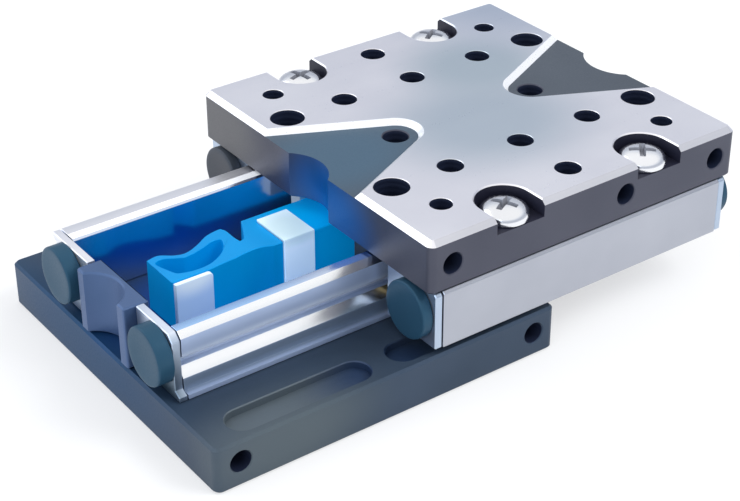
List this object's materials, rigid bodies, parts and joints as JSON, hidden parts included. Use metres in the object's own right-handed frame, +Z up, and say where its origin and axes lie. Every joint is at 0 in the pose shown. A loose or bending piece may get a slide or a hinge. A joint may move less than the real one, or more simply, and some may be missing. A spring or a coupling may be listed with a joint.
{
  "type": "linear translation stage",
  "caption": "Miniature linear translation stage: a square carriage slides over a square base on crossed-roller rails, moved by a small piezo flexure drive under it.",
  "frame": {"origin": "centre of the underside of the base plate", "axes": "+X along the travel, the way the carriage stands out at rest; +Y to the left of the travel; +Z up, out of the top plate"},
  "size_m": [0.0356, 0.022, 0.0098],
  "materials": {
    "base_anodised": "dark grey hard-anodised aluminium, satin",
    "top_plate_satin": "fine satin, light silver",
    "guide_rail_steel": "ground bearing steel",
    "carriage_rail_steel": "satin ground steel",
    "end_plate_steel": "satin sheet steel",
    "end_fitting_dark": "dark oxide steel",
    "cable_block_anodised": "dark anodised aluminium",
    "screw_steel": "bright stainless steel",
    "underside_screw_steel": "blackened steel",
    "roller_steel": "polished bearing steel",
    "cage_brass": "brushed sheet brass",
    "drive_body_blue": "blue anodised aluminium",
    "flexure_blue": "blue anodised aluminium",
    "strap_light": "light satin",
    "piezo_ceramic": "fired ceramic, matte",
    "tip_ceramic": "polished ceramic",
    "runner_ceramic": "ground ceramic",
    "scale_gold": "steel tape with a plated scale",
    "encoder_head_black": "moulded chip package",
    "encoder_board_green": "circuit board"
  },
  "bodies": {
    "base": {"base_plate": "base_anodised", "guide_rail_left": "guide_rail_steel", "guide_rail_right": "guide_rail_steel", "guide_end_plate_front_left": "end_plate_steel", "guide_end_plate_front_right": "end_plate_steel", "guide_end_plate_rear_left": "end_plate_steel", "guide_end_plate_rear_right": "end_plate_steel", "guide_end_button_left": "end_fitting_dark", "guide_end_button_right": "end_fitting_dark", "guide_end_screw_left": "screw_steel", "guide_end_screw_right": "screw_steel", "guide_rail_screw_left_front": "underside_screw_steel", "guide_rail_screw_left_rear": "underside_screw_steel", "guide_rail_screw_right_front": "underside_screw_steel", "guide_rail_screw_right_rear": "underside_screw_steel", "drive_screw_near": "underside_screw_steel", "drive_screw_far": "underside_screw_steel", "cable_exit_block": "cable_block_anodised", "drive_body": "drive_body_blue", "drive_flexure": "flexure_blue", "drive_side_plate": "strap_light", "drive_strap": "strap_light", "piezo_stack": "piezo_ceramic", "friction_tip": "tip_ceramic", "encoder_board": "encoder_board_green", "encoder_head": "encoder_head_black"},
    "carriage": {"top_plate": "top_plate_satin", "carriage_rail_left": "carriage_rail_steel", "carriage_rail_right": "carriage_rail_steel", "carriage_end_plate_front_left": "end_plate_steel", "carriage_end_plate_front_right": "end_plate_steel", "carriage_end_plate_rear_left": "end_plate_steel", "carriage_end_plate_rear_right": "end_plate_steel", "carriage_end_screw_front_left": "end_fitting_dark", "carriage_end_screw_front_right": "end_fitting_dark", "carriage_end_screw_rear_left": "end_fitting_dark", "carriage_end_screw_rear_right": "end_fitting_dark", "top_screw_left_front": "screw_steel", "top_screw_left_rear": "screw_steel", "top_screw_right_front": "screw_steel", "top_screw_right_rear": "screw_steel", "runner_bar": "runner_ceramic", "encoder_scale": "scale_gold"},
    "cage_left": {"roller_cage_left": "cage_brass", "roller_left_1": "roller_steel", "roller_left_2": "roller_steel", "roller_left_3": "roller_steel"},
    "cage_right": {"roller_cage_right": "cage_brass", "roller_right_1": "roller_steel", "roller_right_2": "roller_steel", "roller_right_3": "roller_steel"}
  },
  "joints": [
    {"name": "carriage_slide", "type": "slide", "parent": "base", "child": "carriage", "axis": [1, 0, 0], "range_m": [-0.0132, 0]},
    {"name": "cage_left_slide", "type": "slide", "parent": "base", "child": "cage_left", "axis": [1, 0, 0], "range_m": [-0.0066, 0]},
    {"name": "cage_right_slide", "type": "slide", "parent": "base", "child": "cage_right", "axis": [1, 0, 0], "range_m": [-0.0066, 0]}
  ],
  "couplings": [
    {"joint": "cage_left_slide", "follows": "carriage_slide", "ratio": 0.5},
    {"joint": "cage_right_slide", "follows": "carriage_slide", "ratio": 0.5}
  ]
}
